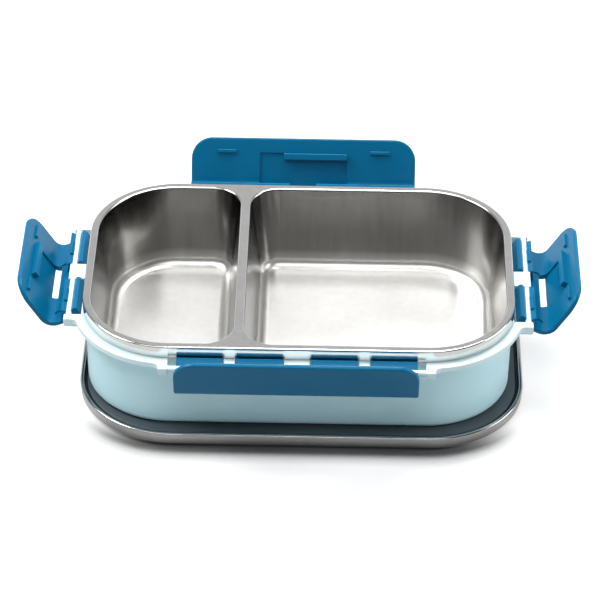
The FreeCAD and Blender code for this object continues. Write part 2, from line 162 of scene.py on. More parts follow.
class Bench:
    """One mesh being shaped by hand in edit mode, in millimetres."""

    def __init__(self, name: str) -> None:
        """Lay an empty mesh on the bench.

        Args:
            name: Name of the finished piece.
        """
        self.clear()
        bpy.ops.object.add(type="MESH", enter_editmode=True)
        self.piece: bpy.types.Object = bpy.context.object
        self.piece.name = name
        self.piece.data.name = name

    @staticmethod
    def clear() -> None:
        """Leave edit mode, with nothing selected."""
        if bpy.context.object and bpy.context.object.mode != "OBJECT":
            bpy.ops.object.mode_set(mode="OBJECT")
        bpy.ops.object.select_all(action="DESELECT")

    def take(self) -> None:
        """Make this piece the one that operators act on, in edit mode."""
        if bpy.context.object is not self.piece or self.piece.mode != "EDIT":
            self.lay_down()
            bpy.ops.object.mode_set(mode="EDIT")

    def lay_down(self) -> None:
        """Leave edit mode, with only this piece selected."""
        self.clear()
        self.piece.select_set(True)
        bpy.context.view_layer.objects.active = self.piece

    def pick(self, what: Pick, test: Callable[[Any], bool]) -> None:
        """Select the points, edges or faces that pass a test.

        Args:
            what: Kind of element.
            test: Called with each element of that kind.
        """
        self.take()
        bpy.ops.mesh.select_mode(type=what.value)
        bpy.ops.mesh.select_all(action="DESELECT")
        mesh = bmesh.from_edit_mesh(self.piece.data)
        items = {Pick.POINTS: mesh.verts, Pick.EDGES: mesh.edges, Pick.FACES: mesh.faces}[what]
        for item in list(filter(test, items)):
            item.select_set(True)
        mesh.select_flush_mode()
        bmesh.update_edit_mesh(self.piece.data)

    def plate(self, low: Point, high: Point, radii: Point, level: float, steps: int = CORNER_STEPS) -> None:
        """Add a flat plate with rounded corners, and leave it selected as one face.

        Args:
            low: Lowest corner in plan.
            high: Highest corner in plan.
            radii: Corner radius at the low-X end and at the high-X end.
            level: Height of the plate.
            steps: Segments of each rounded corner.
        """
        self.take()
        middle = ((low[0] + high[0]) / 2, (low[1] + high[1]) / 2, level)
        bpy.ops.mesh.primitive_plane_add(size=1.0, location=middle)
        size = (high[0] - low[0], high[1] - low[1], 1.0)
        bpy.ops.transform.resize(value=size, center_override=middle)
        fresh = self.selected_points()
        for end, radius in zip((low[0], high[0]), radii):
            self.pick(Pick.POINTS, lambda v: v.index in fresh and abs(v.co.x - end) < TOUCH)
            bpy.ops.mesh.bevel(offset=radius, segments=steps, profile=0.5, affect="VERTICES")
        bpy.ops.mesh.select_all(action="DESELECT")
        bpy.ops.mesh.select_mode(type="FACE")
        mesh = bmesh.from_edit_mesh(self.piece.data)
        min(mesh.faces, key=lambda f: self.plate_miss(f, low, high, level)).select_set(True)
        bmesh.update_edit_mesh(self.piece.data)

    @staticmethod
    def plate_miss(face: Any, low: Point, high: Point, level: float) -> float:
        """How far a face is from a plate between two corners.

        Args:
            face: The face, in edit mode.
            low: Lowest corner of the plate in plan.
            high: Highest corner of the plate in plan.
            level: Height of the plate.

        Returns:
            The misses in plan and in height, added up.
        """
        xs, ys = [v.co.x for v in face.verts], [v.co.y for v in face.verts]
        near = abs(min(xs) - low[0]) + abs(min(ys) - low[1])
        far = abs(max(xs) - high[0]) + abs(max(ys) - high[1])
        return near + far + sum(abs(v.co.z - level) for v in face.verts)

    def selected_points(self) -> set[int]:
        """Find what is selected.

        Returns:
            Indices of the points that are selected now.
        """
        mesh = bmesh.from_edit_mesh(self.piece.data)
        mesh.verts.index_update()
        return {v.index for v in mesh.verts if v.select}

    def follow(self, corners: Sequence[Place], steps: int) -> None:
        """Carry the selected face along a profile by insets, each as deep as the profile goes.

        Args:
            corners: The profile's corners as (inwards, up, radius), from where the face lies now.
            steps: Points on a quarter turn.
        """
        path = corner_path([(0.0, 0.0, 0.0), *corners], steps)
        for before, after in zip(path, path[1:]):
            bpy.ops.mesh.inset(thickness=max(0.0, after[0] - before[0]), depth=after[1] - before[1])

    def push(self, move: Sequence[float]) -> None:
        """Extrude what is selected along a move."""
        bpy.ops.mesh.extrude_region_move(TRANSFORM_OT_translate={"value": tuple(move)})

    def block(self, low: Place, high: Place) -> None:
        """Add a block, and leave it selected.

        Args:
            low: Its lowest corner.
            high: Its highest corner.
        """
        self.take()
        middle = tuple((a + b) / 2 for a, b in zip(low, high))
        bpy.ops.mesh.primitive_cube_add(size=1.0, location=middle)
        bpy.ops.transform.resize(value=tuple(b - a for a, b in zip(low, high)), center_override=middle)

    def rod(self, radius: float, start: Place, length: float, sides: int = 32) -> None:
        """Add a rod along +Y.

        Args:
            radius: Its radius.
            start: Middle of its first end.
            length: Its length.
            sides: Faces round it.
        """
        self.take()
        middle = (start[0], start[1] + length / 2, start[2])
        bpy.ops.mesh.primitive_cylinder_add(
            vertices=sides, radius=radius, depth=length, location=middle, rotation=(math.pi / 2, 0.0, 0.0)
        )

    def trace(self, points: Sequence[Point], level: float) -> None:
        """Draw a closed line in plan, by extruding one point on from the last.

        Args:
            points: The line's points.
            level: Its height.
        """
        self.take()
        first = (points[0][0], points[0][1], level)
        bpy.ops.mesh.select_all(action="DESELECT")
        bpy.ops.mesh.select_mode(type="VERT")
        bpy.ops.mesh.primitive_plane_add(size=1.0, location=first)
        bpy.ops.mesh.merge(type="CENTER")
        for before, after in zip(points, points[1:]):
            self.push((after[0] - before[0], after[1] - before[1], 0.0))
        mesh = bmesh.from_edit_mesh(self.piece.data)
        mesh.verts.ensure_lookup_table()
        fresh = list(mesh.verts)[-len(points):]
        fresh[0].select_set(True)
        fresh[-1].select_set(True)
        bmesh.update_edit_mesh(self.piece.data)
        bpy.ops.mesh.edge_face_add()

    def profile(self, points: Sequence[Point], low: float, high: float) -> None:
        """Draw a closed line across the Y axis and extrude it along the axis.

        Args:
            points: Points as (outwards, up).
            low: Where the extrusion begins.
            high: Where it ends.
        """
        self.trace(points, 0.0)
        self.pick(Pick.EDGES, lambda e: True)
        bpy.ops.mesh.edge_face_add()
        self.pick(Pick.FACES, lambda f: True)
        self.push((0.0, 0.0, high - low))
        self.turn(90.0, Axis.X)
        self.move((0.0, high, 0.0))
        self.close()

    def level(self, height: float) -> None:
        """Bring every point that lies at a height exactly onto it."""
        self.pick(Pick.POINTS, lambda v: abs(v.co.z - height) < NEAR)
        bpy.ops.transform.resize(value=(1.0, 1.0, 0.0), center_override=(0.0, 0.0, height))

    def split(self, normal: Place, place: float) -> None:
        """Cut the faces of the whole piece along a plane, so that none reaches round a corner.

        Args:
            normal: The plane's normal.
            place: Its distance from the origin along the normal.
        """
        self.take()
        bpy.ops.mesh.select_all(action="SELECT")
        bpy.ops.mesh.bisect(plane_co=tuple(place * n for n in normal), plane_no=normal)

    def round_edges(self, radius: float, steps: int) -> None:
        """Round the selected edges."""
        bpy.ops.mesh.bevel(offset=radius, segments=steps, profile=0.5, affect="EDGES", clamp_overlap=False)

    def close(self) -> None:
        """Merge points that lie together and turn every face outwards."""
        self.take()
        bpy.ops.mesh.select_all(action="SELECT")
        bpy.ops.mesh.remove_doubles(threshold=TOUCH)
        bpy.ops.mesh.normals_make_consistent(inside=False)

    def merge_flats(self) -> None:
        """Close the piece, and make one face of neighbours that lie in one plane."""
        self.close()
        bpy.ops.mesh.dissolve_limited(angle_limit=math.radians(FLAT))

    def turn(self, angle: float, axis: Axis) -> None:
        """Turn the whole piece about an axis through the origin, by the right-hand rule, in degrees."""
        self.lay_down()
        self.piece.data.transform(Matrix.Rotation(math.radians(angle), 4, axis.value))

    def move(self, by: Sequence[float]) -> None:
        """Move the whole piece."""
        self.lay_down()
        self.piece.data.transform(Matrix.Translation(Vector(by)))

    def work(self, other: "Bench", how: Join) -> None:
        """Work another piece into this one, and use it up.

        Args:
            other: The other piece.
            how: Whether it is fused or cut away.
        """
        other.lay_down()
        self.lay_down()
        tool = self.piece.modifiers.new("joint", "BOOLEAN")
        tool.operation = how.value
        tool.solver = "EXACT"
        tool.object = other.piece
        bpy.ops.object.modifier_apply(modifier=tool.name)
        other.discard()

    def discard(self) -> None:
        """Take the piece off the bench for good."""
        used = self.piece.data
        bpy.data.objects.remove(self.piece)
        bpy.data.meshes.remove(used)

    def apply(self, kind: Tool, **settings: Any) -> None:
        """Add a modifier and apply it.

        Args:
            kind: The modifier.
            settings: Its settings by name.
        """
        self.lay_down()
        modifier = self.piece.modifiers.new(kind.name.lower(), kind.value)
        for key, value in settings.items():
            setattr(modifier, key, value)
        bpy.ops.object.modifier_apply(modifier=modifier.name)

    def join(self, *others: "Bench") -> None:
        """Put other pieces into this mesh as they are.

        Args:
            others: The other pieces, which are used up.
        """
        self.lay_down()
        for other in others:
            other.piece.select_set(True)
        bpy.ops.object.join()

    def copy(self, name: str) -> "Bench":
        """Make a second piece with a mesh of its own.

        Args:
            name: Name of the copy.

        Returns:
            The copy.
        """
        self.lay_down()
        twin = Bench.__new__(Bench)
        twin.piece = self.piece.copy()
        twin.piece.data = self.piece.data.copy()
        twin.piece.name = twin.piece.data.name = name
        bpy.context.collection.objects.link(twin.piece)
        return twin

    def soften(self, width: float, steps: int = 3, angle: float = 35.0) -> None:
        """Take the sharpness off every edge, as a mould does.

        Args:
            width: Width of the rounding.
            steps: Segments across it.
            angle: Edges that turn more than this many degrees are sharp.
        """
        self.apply(
            Tool.BEVEL, width=width, segments=steps, limit_method="ANGLE", angle_limit=math.radians(angle),
            use_clamp_overlap=False, miter_outer="MITER_ARC", harden_normals=False,
        )
        self.take()
        bpy.ops.mesh.select_all(action="SELECT")
        bpy.ops.mesh.remove_doubles(threshold=NEAR)
        bpy.ops.mesh.dissolve_degenerate(threshold=NEAR)

    def buff(self, test: Callable[[Vector], float]) -> None:
        """Keep how far each point has been polished, which also sets the painted shade in steel's colour, as
        an attribute of the mesh.

        Args:
            test: Gives a point's polish, from 0 to 1.
        """
        self.lay_down()
        layer = self.piece.data.attributes.new(POLISH_AND_PAINTED_SHADE, "FLOAT", "POINT")
        layer.data.foreach_set("value", [test(point.co) for point in self.piece.data.vertices])

    def finish(self, smooth: float = 40.0) -> bpy.types.Object:
        """Shade the piece, bring it to metres and hand it over.

        Args:
            smooth: Edges that turn less than this many degrees are shaded smooth.

        Returns:
            The finished object, at the origin and unscaled.
        """
        self.lay_down()
        self.piece.data.transform(Matrix.Scale(METRES, 4))
        bpy.ops.object.shade_smooth_by_angle(angle=math.radians(smooth))
        self.apply(Tool.SHADING, keep_sharp=True, weight=60)
        return self.piece


# Materials

Value = Union["Shade", float, Sequence[float]]


class Shade:
    """A number in a material's node tree, so that shader maths reads as arithmetic."""

    def __init__(self, tree: "ShaderTree", socket: bpy.types.NodeSocket) -> None:
        """Wrap one output socket."""
        self.tree = tree
        self.socket = socket

    def maths(self, operation: str, first: Value, second: Value) -> "Shade":
        """Add one Math node."""
        return self.tree.node("ShaderNodeMath", {0: first, 1: second}, {"operation": operation})

    def __add__(self, other: Value) -> "Shade":
        """Sum."""
        return self.maths("ADD", self, other)

    __radd__ = __add__

    def __mul__(self, other: Value) -> "Shade":
        """Product."""
        return self.maths("MULTIPLY", self, other)

    __rmul__ = __mul__

    def __sub__(self, other: Value) -> "Shade":
        """Difference."""
        return self.maths("SUBTRACT", self, other)

    def __rsub__(self, other: Value) -> "Shade":
        """Difference from a number."""
        return self.maths("SUBTRACT", other, self)

    def __pow__(self, other: Value) -> "Shade":
        """Power."""
        return self.maths("POWER", self, other)

    def above_zero(self) -> "Shade":
        """The number itself, or zero where it is less."""
        return self.maths("MAXIMUM", self, 0.0)


class ShaderTree:
    """The nodes of a new material or of the world."""

    def __init__(self, owner: Union[bpy.types.Material, bpy.types.World]) -> None:
        """Clear the owner's nodes.

        Args:
            owner: The material or world that the nodes belong to.
        """
        self.owner = owner
        owner.use_nodes = True
        self.tree = owner.node_tree
        self.tree.nodes.clear()

    @classmethod
    def named(cls, name: str) -> "ShaderTree":
        """Start a new material."""
        return cls(bpy.data.materials.new(name))

    def node(
        self,
        kind: str,
        inputs: Optional[dict[Union[str, int], Value]] = None,
        settings: Optional[dict[str, Any]] = None,
        output: Union[str, int] = 0,
    ) -> Shade:
        """Add any node.

        Args:
            kind: Blender's name for the node.
            inputs: Values or links of its sockets.
            settings: Its options, set first. "stops" gives a ramp's stops as (place, colour).
            output: The output to hand back.

        Returns:
            The chosen output.
        """
        made = self.tree.nodes.new(kind)
        for key, value in (settings or {}).items():
            if key == "stops":
                while len(made.color_ramp.elements) < len(value):
                    made.color_ramp.elements.new(0.5)
                for element, (place, colour) in zip(made.color_ramp.elements, value):
                    element.position = place
                    element.color = (*colour, 1.0)
            else:
                setattr(made, key, value)
        for key, value in (inputs or {}).items():
            if isinstance(value, Shade):
                self.tree.links.new(value.socket, made.inputs[key])
            elif isinstance(value, (int, float)):
                made.inputs[key].default_value = value
            else:
                target = made.inputs[key]
                target.default_value = tuple(value)[: len(target.default_value)]
        return Shade(self, made.outputs[output])

    def place(self) -> Shade:
        """Object coordinates, in metres."""
        return self.node("ShaderNodeTexCoord", output="Object")

    def along(self, axis: Axis, vector: Optional[Shade] = None) -> Shade:
        """One axis of a vector, or else of the object coordinates."""
        return self.node("ShaderNodeSeparateXYZ", {0: vector or self.place()}, output=axis.value)

    def stretched(self, scale: Place) -> Shade:
        """Object coordinates stretched by a scale along each axis."""
        return self.node("ShaderNodeMapping", {"Vector": self.place(), "Scale": scale})

    def noise(self, scale: float, detail: float, vector: Optional[Shade] = None) -> Shade:
        """Soft noise from 0 to 1."""
        inputs = {"Vector": vector or self.place(), "Scale": scale, "Detail": detail, "Roughness": 0.55}
        return self.node("ShaderNodeTexNoise", inputs, output="Fac")

    def rise(self, value: Shade, start: float, end: float) -> Shade:
        """Smooth step from 0 where a value is at the start to 1 where it is at the end."""
        inputs = {"Value": value, "From Min": start, "From Max": end, "To Min": 0.0, "To Max": 1.0}
        return self.node("ShaderNodeMapRange", inputs, {"interpolation_type": "SMOOTHSTEP"})

    def ramp(self, factor: Shade, stops: Sequence[Point]) -> Shade:
        """Grey ramp through stops, each a place and a level."""
        greys = [(place, (level,) * 3) for place, level in stops]
        return self.node("ShaderNodeValToRGB", {"Fac": factor}, {"stops": greys})

    def tint(self, factor: Value, low: Value, high: Value) -> Shade:
        """Blend of two colours, each written out or made by other nodes."""
        low, high = (end if isinstance(end, Shade) else (*end, 1.0) for end in (low, high))
        return self.node("ShaderNodeMix", {0: factor, 6: low, 7: high}, {"data_type": "RGBA"}, output=2)

    def bump(self, height: Shade, strength: float) -> Shade:
        """Normal of a surface raised by a height."""
        return self.node("ShaderNodeBump", {"Height": height, "Strength": strength, "Distance": RELIEF})

    def surface(self, inputs: dict[Union[str, int], Value]) -> bpy.types.Material:
        """Finish the material with one principled surface."""
        return self.close(self.node("ShaderNodeBsdfPrincipled", inputs), "ShaderNodeOutputMaterial")

    def close(self, shader: Shade, kind: str) -> Any:
        """Link a shader to the output.

        Args:
            shader: The finished shader.
            kind: Blender's name for the output node.

        Returns:
            The material or world that the nodes belong to.
        """
        end = self.tree.nodes.new(kind)
        self.tree.links.new(shader.socket, end.inputs["Surface"])
        return self.owner


@dataclass(frozen=True)
class MouldedPlastic:
    """Injection-moulded plastic with a fine mould grain and slightly uneven gloss, and if asked painted light
    that makes it lighter above a height.
    """

    name: str
    colour: Place
    deep: Place
    roughness: float
    grain: float
    shine: float = 0.5
    painted_light_colour: Optional[Place] = None
    painted_light_between: Point = (0.0402, 0.0428)
    grain_scale: float = 2600.0
    cloud_scale: float = 28.0
    unevenness: float = 0.10
    ior: float = 1.49

    def make(self) -> bpy.types.Material:
        """Build the material.

        Returns:
            The new material.
        """
        tree = ShaderTree.named(self.name)
        cloud = tree.noise(self.cloud_scale, detail=3.0)
        grain = tree.noise(self.grain_scale, detail=1.0)
        colour = tree.tint(cloud, self.deep, self.colour)
        if self.painted_light_colour is not None:
            # Painted light: the colour turns lighter above a height
            colour = tree.tint(tree.rise(tree.along(Axis.Z), *self.painted_light_between), colour, self.painted_light_colour)
        return tree.surface(
            {
                "Base Color": colour,
                "Roughness": cloud * self.unevenness + (self.roughness - self.unevenness / 2),
                "Normal": tree.bump(grain, self.grain),
                "IOR": self.ior,
                "Specular IOR Level": self.shine,
            }
        )


@dataclass(frozen=True)
class DrawnSteel:
    """Streaked stainless sheet: satin floors, glossy walls, a polished grey rim, and painted shade darkening
    the walls upwards.
    """

    name: str
    colour: Place = (0.92, 0.91, 0.888)
    deep: Place = (0.06, 0.0584, 0.055)
    satin: float = 0.38
    satin_end: float = 0.2
    gloss: float = 0.2
    polish: float = 0.15
    # Painted shade: levels of the base colour along the polish, darkest near the tops of the walls
    tone_with_painted_shade: tuple[Point, ...] = ((0.0, 1.0), (0.22, 0.9), (BEND_TOP, 0.22), (0.45, 0.17), (WALL_TOP, 0.03))
    rim_from: float = 0.95
    rim_tone: float = 0.68
    painted_shade_share: float = 0.9
    mottle: float = 0.12
    streak_spread: float = 0.08
    cloud_spread: float = 0.06
    cloud_scale: float = 34.0
    stretch: Place = (1.0, 1.0, 0.06)
    scale: float = 300.0
    grain: float = 0.04

    def make(self) -> bpy.types.Material:
        """Build the material.

        Returns:
            The new material.
        """
        tree = ShaderTree.named(self.name)
        streaks = tree.noise(self.scale, detail=3.0, vector=tree.stretched(self.stretch))
        cloud = tree.noise(self.cloud_scale, detail=2.0)
        buffed = tree.node("ShaderNodeAttribute", settings={"attribute_name": POLISH_AND_PAINTED_SHADE}, output="Fac")
        satin = ((0.0, self.satin), (self.satin_end, self.satin))
        rubbed = tree.ramp(buffed, (*satin, (BEND_TOP, self.gloss), (RIM, self.polish)))
        # Painted shade: the base colour darkens up the walls towards their tops
        painted_shade = tree.ramp(buffed, (*self.tone_with_painted_shade, (self.rim_from, self.rim_tone)))
        mottle_and_painted_shade = streaks * self.mottle + cloud * self.mottle + painted_shade * self.painted_shade_share - self.mottle / 2
        uneven = rubbed + streaks * self.streak_spread + cloud * self.cloud_spread
        return tree.surface(
            {
                "Base Color": tree.tint(mottle_and_painted_shade, self.deep, self.colour),
                "Metallic": 1.0,
                "Roughness": uneven - (self.streak_spread / 2 + self.cloud_spread / 2),
                "Normal": tree.bump(streaks, self.grain),
            }
        )


TRAY_STEEL = DrawnSteel("satin drawn steel")
LID_STEEL = DrawnSteel(
    "satin lid steel", colour=(0.66, 0.652, 0.636), satin=0.22, stretch=(0.1, 0.1, 1.0), scale=900.0
)
# Pale aqua, with painted light lightening the flange, ears and bars
PALE_AQUA = MouldedPlastic(
    "pale aqua plastic", (0.60, 0.885, 0.955), (0.56, 0.85, 0.93), 0.34, 0.10, painted_light_colour=(0.70, 0.86, 0.90)
)
FLAP_BLUE = MouldedPlastic(
    "blue flap plastic", (0.0015, 0.137, 0.276), (0.001, 0.120, 0.250), 0.25, 0.10, shine=0.16
)
SLATE = MouldedPlastic(
    "slate lining plastic", (0.074, 0.098, 0.111), (0.060, 0.080, 0.092), 0.45, 0.2, shine=0.3
)
DARK_SILICONE = MouldedPlastic("dark gasket silicone", (0.014, 0.016, 0.018), (0.009, 0.011, 0.013), 0.6, 0.2)


def set_down(piece: bpy.types.Object, node: str, body: str, material: bpy.types.Material) -> None:
    """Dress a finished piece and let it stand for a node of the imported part.

    Args:
        piece: The finished object.
        node: The node it replaces.
        body: The body it rides on.
        material: Its finish.
    """
    piece.data.materials.clear()
    piece.data.materials.append(material)
    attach(piece, body)
    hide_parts(node)
    piece.data.calc_loop_triangles()
    LOG.info("%s stands for %s, %d triangles", piece.name, node, len(piece.data.loop_triangles))


# Sizes that several pieces share


@dataclass(frozen=True)
class BoxSizes:
    """Levels and outline of the box, in millimetres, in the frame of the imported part."""

    middle: Point = (-1.65, 3.9)
    length: float = 200.0
    width: float = 133.2
    corner: float = 41.0
    base: float = 6.3
    rim: float = 51.3
    sheet: float = 0.6
    flange: float = 45.3
    bar_offset: float = 6.2
    bar_radius: float = 1.5

    @property
    def bar_level(self) -> float:
        """Height of the hinge bars' axes."""
        return self.flange - self.bar_radius

    def outline(self, grow: float) -> tuple[Point, Point, Point]:
        """Rim outline moved outwards, about the box's own middle.

        Args:
            grow: Distance outwards.

        Returns:
            Lowest corner, highest corner and the two corner radii.
        """
        half = (self.length / 2 + grow, self.width / 2 + grow)
        return (-half[0], -half[1]), half, (self.corner + grow, self.corner + grow)

    def inside(self, x: float, y: float) -> float:
        """Distance inwards from the rim outline.

        Args:
            x: Place of a point about the box's own middle.
            y: The same, across the box.

        Returns:
            The distance, less than zero outside.
        """
        over = [abs(c) - (size / 2 - self.corner) for c, size in ((x, self.length), (y, self.width))]
        out = math.hypot(max(over[0], 0.0), max(over[1], 0.0)) + min(max(over), 0.0)
        return self.corner - out

    def reach(self, side: Side) -> float:
        """Distance from the box's middle to the rim on one side."""
        return self.length / 2 if side.is_end else self.width / 2

    def run(self, side: Side) -> float:
        """Half the length of the rim along one side."""
        return self.width / 2 if side.is_end else self.length / 2


BOX = BoxSizes()


# Sub-assemblies


@dataclass
class SteelTray:
    """Tray drawn from one sheet: flat rim, turned-down skirt and two compartments."""

    rim_width: float = 3.8
    rim_bend: float = 0.8
    rim_land: float = 0.5
    lip_bend: float = 0.9
    skirt: float = 5.6
    depth: float = 41.5
    draft: float = 7.5
    floor_bend: float = 5.0
    mouth_steps: int = 28
    divider_x: float = -27.0
    divider_width: float = 4.7
    divider_corner: float = 14.0
    polished_depth: float = 0.4
    polished_width: float = 1.0
    satin_height: float = 0.5
    smooth: float = 50.0
    finish: DrawnSteel = TRAY_STEEL

    def compartment(self, bench: Bench, low_x: float, high_x: float, radii: Point) -> None:
        """Sink one compartment from the rim's level.

        Args:
            bench: The tray's mesh.
            low_x: Left edge of the mouth.
            high_x: Right edge of the mouth.
            radii: Corner radii of the mouth at the left and at the right.
        """
        half = BOX.width / 2 - self.rim_width
        lead = self.lip_bend * math.tan(math.radians(90 - self.draft) / 2)
        slope = self.depth * math.tan(math.radians(self.draft))
        floor_run = self.floor_bend * math.tan(math.radians(90 - self.draft) / 2)
        low, high = (low_x - lead, -half - lead), (high_x + lead, half + lead)
        bench.plate(low, high, (radii[0] + lead, radii[1] + lead), BOX.rim, self.mouth_steps)
        bench.follow([
            (lead, 0.0, self.lip_bend),
            (lead + slope, -self.depth, self.floor_bend),
            (lead + slope + floor_run, -self.depth, 0.0),
        ], steps=10)

    def build(self) -> bpy.types.Object:
        """Model the tray.

        Returns:
            The finished tray.
        """
        bench = Bench("tray_sheet")
        bench.plate(*BOX.outline(0.0), BOX.rim - self.skirt)
        bench.follow([
            (0.0, self.skirt, self.rim_bend),
            (self.rim_bend + self.rim_land, self.skirt, 0.0),
        ], steps=8)
        bpy.ops.mesh.delete(type="FACE")
        outer_x = BOX.length / 2 - self.rim_width
        outer_corner = BOX.corner - self.rim_width
        left_of, right_of = (self.divider_x + sign * self.divider_width / 2 for sign in (-1, 1))
        self.compartment(bench, -outer_x, left_of, (outer_corner, self.divider_corner))
        self.compartment(bench, right_of, outer_x, (self.divider_corner, outer_corner))
        bench.pick(
            Pick.EDGES, lambda e: e.is_boundary and all(abs(v.co.z - BOX.rim) < TOUCH for v in e.verts)
        )
        bpy.ops.mesh.fill(use_beauty=True)
        bench.close()
        self.face_up(bench)
        bench.apply(Tool.SHEET, thickness=BOX.sheet, offset=-1.0, use_even_offset=True)
        bench.buff(self.polish_and_painted_shade_at)
        bench.move((*BOX.middle, 0.0))
        return bench.finish(self.smooth)

    def polish_and_painted_shade_at(self, point: Vector) -> float:
        """How far the sheet is polished at a point, which also sets its painted shade, about the box's own
        middle.

        Args:
            point: The point.

        Returns:
            1 on the rim and the skirt, 0 on the floors, and more the higher up a wall.
        """
        if point.z > BOX.rim - self.polished_depth or BOX.inside(point.x, point.y) < self.polished_width:
            return RIM
        above = point.z - (BOX.rim - self.depth)
        if above > self.floor_bend:
            climb = (WALL_TOP - BEND_TOP) * (above - self.floor_bend)
            return BEND_TOP + climb / (self.depth - self.floor_bend)
        return BEND_TOP * max(0.0, above - self.satin_height) / (self.floor_bend - self.satin_height)

    @staticmethod
    def face_up(bench: Bench) -> None:
        """Turn the open sheet so that its shown side faces up and out.

        Args:
            bench: The tray's mesh.
        """
        bench.pick(Pick.FACES, lambda f: abs(f.calc_center_median().z - BOX.rim) < TOUCH)
        mesh = bmesh.from_edit_mesh(bench.piece.data)
        rim = [f for f in mesh.faces if f.select]
        if sum(f.normal.z * f.calc_area() for f in rim) < 0:
            bpy.ops.mesh.select_all(action="SELECT")
            bpy.ops.mesh.flip_normals()

    def dress(self) -> None:
        """Build the tray and give it its steel."""
        set_down(self.build(), "steel_tray", "tray", self.finish.make())


@dataclass
class OuterShell:
    """Pale moulded shell with its flange, ears, hinge bars, blocks and posts."""

    inset: float = 0.9
    wall: float = 1.8
    floor: float = 2.0
    taper: float = 0.6
    foot: float = 3.0
    foot_land: float = 1.0
    seat_edge: float = 0.3
    hollow_bend: float = 2.0
    hollow_land: float = 4.0
    flange_reach: float = 4.3
    flange_depth: float = 2.7
    flange_steps: int = 24
    pocket_reach: float = -0.45
    ear_width: float = 4.2
    ear_depth: float = 4.3
    ear_sweep: float = 3.2
    sweep_steps: int = 8
    sweep_sink: float = 0.03
    long_ear: float = 58.5
    short_ear: float = 34.1
    support_nose: float = 0.6
    support_root: float = 0.6
    support_round: float = 1.2
    block_width: float = 11.8
    post_width: float = 5.2
    post_place: float = 30.6
    block_depth: float = 5.6
    bar_ease: float = 0.04
    edge: float = 0.35
    # Where the flange's faces are split, so that none reaches round a corner
    cuts_x: tuple[float, ...] = (-80.0, -45.0, -18.0, 18.0, 45.0, 80.0)
    cuts_y: tuple[float, ...] = (-50.0, -20.0, 20.0, 50.0)
    finish: MouldedPlastic = PALE_AQUA

    def ear_inner(self, side: Side) -> float:
        """Distance from a side's middle to the inner faces of its ears."""
        return self.short_ear if side.is_end else self.long_ear

    def holders(self, side: Side) -> list[Point]:
        """Find what holds the bar of one hinge between its ears.

        Args:
            side: The side of the box.

        Returns:
            Place along the side and width of the block and, on a long side, of the two posts.
        """
        held = [(0.0, self.block_width)]
        if not side.is_end:
            held += [(sign * self.post_place, self.post_width) for sign in (-1, 1)]
        return held

    def walls(self) -> Bench:
        """Model the tapered wall, its floor and the seat under the tray's rim.

        Returns:
            The wall, about the box's own middle.
        """
        bench = Bench("shell_moulding")
        outline = BOX.outline(-self.inset)
        seat = BOX.rim - BOX.sheet
        drop = seat - BOX.base
        bench.plate(*outline, seat)
        bench.follow([
            (self.taper, -drop, self.foot),
            (self.taper + self.foot + self.foot_land, -drop, 0.0),
        ], steps=10)
        bench.plate(*outline, seat)
        bench.follow([
            (self.wall, 0.0, self.seat_edge),
            (self.wall + self.taper, self.floor - drop, self.hollow_bend),
            (self.wall + self.taper + self.hollow_land, self.floor - drop, 0.0),
        ], steps=6)
        bench.close()
        return bench

    def sweep(self, side: Side) -> tuple[list[Point], Point]:
        """Hollow curve from an ear's far side to the flange's edge, in the side's own plan.

        Args:
            side: The side of the box.

        Returns:
            Points as (outwards, along) from the ear to the flange, and the middle of the flange's corner.
        """
        start = BOX.run(side) - BOX.corner
        across = self.ear_inner(side) + self.ear_width + self.ear_sweep - self.sweep_sink
        middle = Vector((-BOX.corner, start))
        reach = BOX.corner + self.flange_reach + self.ear_sweep
        centre = Vector((-BOX.corner + math.sqrt(reach ** 2 - (across - start) ** 2), across))
        landing = middle + (centre - middle) * ((reach - self.ear_sweep) / reach)
        first = -math.pi / 2
        last = math.atan2(landing.y - centre.y, landing.x - centre.x)
        last -= 2 * math.pi if last > 0 else 0.0
        points = []
        for index in range(self.sweep_steps + 1):
            angle = first + (last - first) * index / self.sweep_steps
            out = centre.x + self.ear_sweep * math.cos(angle)
            points.append((out, centre.y + self.ear_sweep * math.sin(angle)))
        return points, (middle.x, middle.y)

    def flange_plan(self) -> list[Point]:
        """Outline of the flange in plan: pockets between the ears, sweeps and rounded corners.

        Returns:
            The outline's points, about the box's own middle.
        """
        plan: list[Point] = []
        order = (Side.RIGHT, Side.BACK, Side.LEFT, Side.FRONT)
        radius = BOX.corner + self.flange_reach
        for index, side in enumerate(order):
            middle_of_ear = self.ear_inner(side) + self.ear_width / 2
            points, corner = self.sweep(side)
            tip = points[0][0]
            local = [(u, -v) for u, v in reversed(points)]
            local += [(tip, -middle_of_ear), (self.pocket_reach, -middle_of_ear)]
            local += [(self.pocket_reach, middle_of_ear), (tip, middle_of_ear)]
            local += points
            follower, other = self.sweep(order[(index + 1) % len(order)])
            begin = math.atan2(points[-1][1] - corner[1], points[-1][0] - corner[0])
            end = math.pi / 2 - math.atan2(follower[-1][1] - other[1], follower[-1][0] - other[0])
            for step in range(1, self.flange_steps):
                angle = begin + (end - begin) * step / self.flange_steps
                local.append((corner[0] + radius * math.cos(angle), corner[1] + radius * math.sin(angle)))
            turn = math.radians(side.value)
            c, s = math.cos(turn), math.sin(turn)
            for u, v in local:
                x, y = u + BOX.reach(side), v
                plan.append((x * c - y * s, x * s + y * c))
        return plan

    def flange(self) -> Bench:
        """Model the flange as a ring.

        Returns:
            The ring, about the box's own middle.
        """
        bench = Bench("flange")
        bench.trace(self.flange_plan(), BOX.flange)
        bpy.ops.mesh.select_all(action="DESELECT")
        bench.plate(*BOX.outline(-self.inset - self.wall / 2), BOX.flange)
        bpy.ops.mesh.delete(type="ONLY_FACE")
        bench.pick(Pick.EDGES, lambda e: True)
        bpy.ops.mesh.fill(use_beauty=True)
        bench.pick(Pick.FACES, lambda f: True)
        bench.push((0.0, 0.0, -self.flange_depth))
        bench.close()
        return bench

